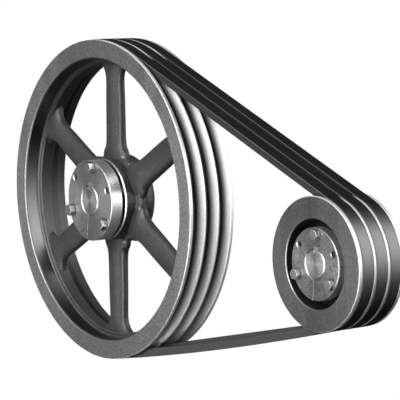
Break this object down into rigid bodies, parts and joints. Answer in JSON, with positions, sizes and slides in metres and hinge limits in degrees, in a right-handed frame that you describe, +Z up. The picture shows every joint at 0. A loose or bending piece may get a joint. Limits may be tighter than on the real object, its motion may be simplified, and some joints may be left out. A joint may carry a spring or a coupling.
{
  "type": "v-belt drive",
  "caption": "Classical V-belt drive: large six-arm grooved sheave and small solid sheave on split taper bushings and shaft ends, joined by wrapped V-belts in parallel grooves.",
  "frame": {"origin": "the middle of the large (driven) shaft's bearing journal, 66 mm behind the sheaves' front faces", "axes": "+Y along both shafts, from the bushing flanges towards the shafts' free ends; +X from the large sheave's axis towards the small sheave's axis; +Z up"},
  "size_m": [0.701, 0.1073, 0.4008],
  "materials": {
    "cast_iron": "grey iron, as-cast arms and hub, machined rim faces and grooves",
    "machined_iron": "fine-turned iron",
    "zinc_steel": "plain hexagon-head screws",
    "spring_steel": "oiled spring steel",
    "shaft_steel": "turned and faced shafting",
    "key_steel": "cold-drawn key stock",
    "belt_fabric": "rubber-impregnated bias-woven jacket",
    "belt_rubber": "matt vulcanised rubber",
    "belt_cord": "stretched polyester load cord"
  },
  "bodies": {
    "belts": {"front_belt_cover": "belt_fabric", "front_belt_cushion": "belt_rubber", "front_belt_core": "belt_rubber", "front_belt_cords": "belt_cord", "middle_belt_cover": "belt_fabric", "middle_belt_cushion": "belt_rubber", "middle_belt_core": "belt_rubber", "middle_belt_cords": "belt_cord", "rear_belt_cover": "belt_fabric", "rear_belt_cushion": "belt_rubber", "rear_belt_core": "belt_rubber", "rear_belt_cords": "belt_cord"},
    "driven": {"driven_sheave": "cast_iron", "driven_bushing": "machined_iron", "driven_bushing_cap_screws": "zinc_steel", "driven_bushing_lock_washers": "spring_steel", "driven_shaft": "shaft_steel", "driven_shaft_key": "key_steel"},
    "driver": {"driver_sheave": "cast_iron", "driver_bushing": "machined_iron", "driver_bushing_cap_screws": "zinc_steel", "driver_bushing_lock_washers": "spring_steel", "driver_shaft": "shaft_steel", "driver_shaft_key": "key_steel"}
  },
  "joints": [
    {"name": "driven_spin", "type": "hinge", "parent": "belts", "child": "driven", "pos_m": [0, 0, 0], "axis": [0, 1, 0], "continuous": true},
    {"name": "driver_spin", "type": "hinge", "parent": "belts", "child": "driver", "pos_m": [0.4272, 0, 0], "axis": [0, 1, 0], "continuous": true}
  ],
  "couplings": [
    {"joint": "driver_spin", "follows": "driven_spin", "ratio": 2.8519}
  ]
}
